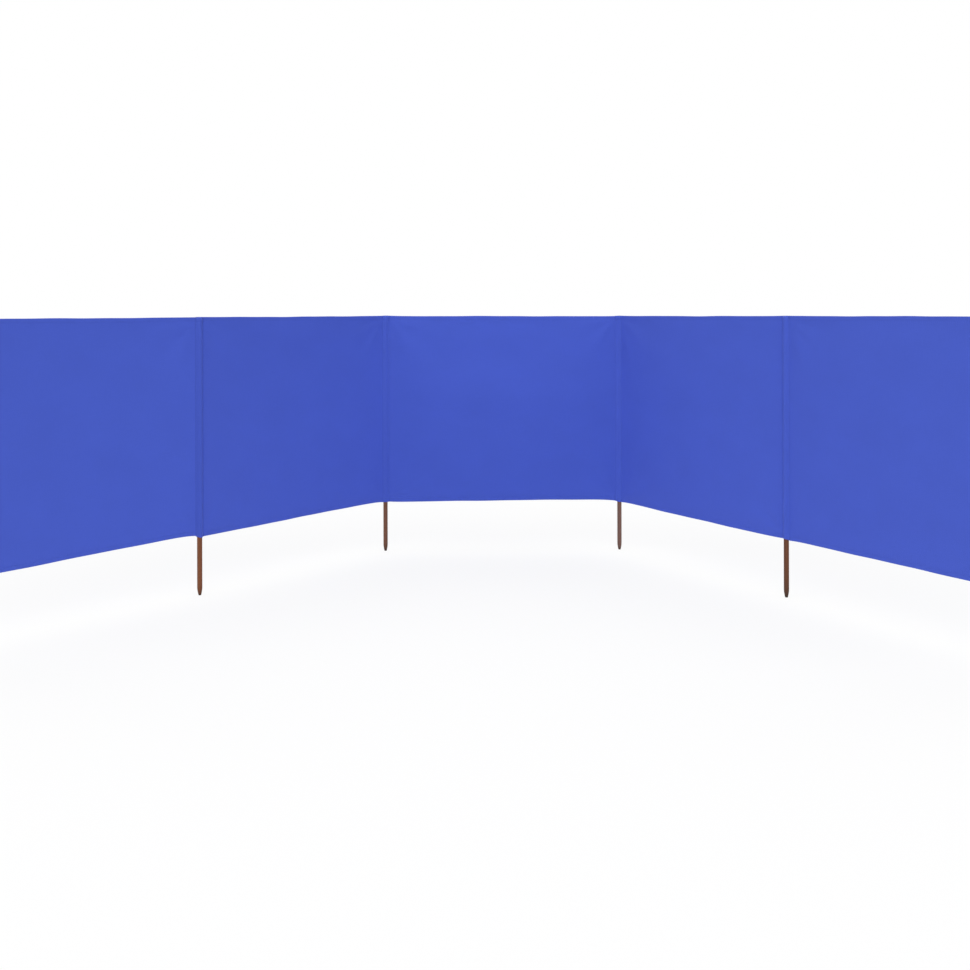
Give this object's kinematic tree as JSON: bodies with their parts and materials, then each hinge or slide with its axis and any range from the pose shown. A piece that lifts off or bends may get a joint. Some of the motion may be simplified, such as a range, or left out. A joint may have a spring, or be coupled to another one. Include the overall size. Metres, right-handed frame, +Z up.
{
  "type": "beach windbreak",
  "caption": "Long cloth screen in straight bays, held up by wooden poles that slide into pockets sewn across it, set out as a shallow open U.",
  "frame": {"origin": "centre of the flat foot of the third pole, counted from the left end as seen from the sheltered side", "axes": "+X along the middle bay from the third pole to the fourth, +Z up along the poles, -Y towards the sheltered side that the row curves round"},
  "size_m": [3.9157, 2.1418, 1.2013],
  "materials": {
    "panel_cloth": "plain-woven blue polyester, matt",
    "hem_cloth": "the same blue cloth, folded and stitched",
    "pocket_cloth": "the same blue cloth, two plies sewn together beside the pole",
    "pole_wood": "red-brown stained hardwood dowel, satin"
  },
  "bodies": {
    "root": {"pole_1": "pole_wood", "pole_2": "pole_wood", "pole_3": "pole_wood", "pole_4": "pole_wood", "pole_5": "pole_wood", "pole_6": "pole_wood", "pole_pocket_1": "pocket_cloth", "pole_pocket_2": "pocket_cloth", "pole_pocket_3": "pocket_cloth", "pole_pocket_4": "pocket_cloth", "pole_pocket_5": "pocket_cloth", "pole_pocket_6": "pocket_cloth", "panel_1": "panel_cloth", "panel_2": "panel_cloth", "panel_3": "panel_cloth", "panel_4": "panel_cloth", "panel_5": "panel_cloth", "top_hem_1": "hem_cloth", "top_hem_2": "hem_cloth", "top_hem_3": "hem_cloth", "top_hem_4": "hem_cloth", "top_hem_5": "hem_cloth", "bottom_hem_1": "hem_cloth", "bottom_hem_2": "hem_cloth", "bottom_hem_3": "hem_cloth", "bottom_hem_4": "hem_cloth", "bottom_hem_5": "hem_cloth"}
  },
  "joints": []
}
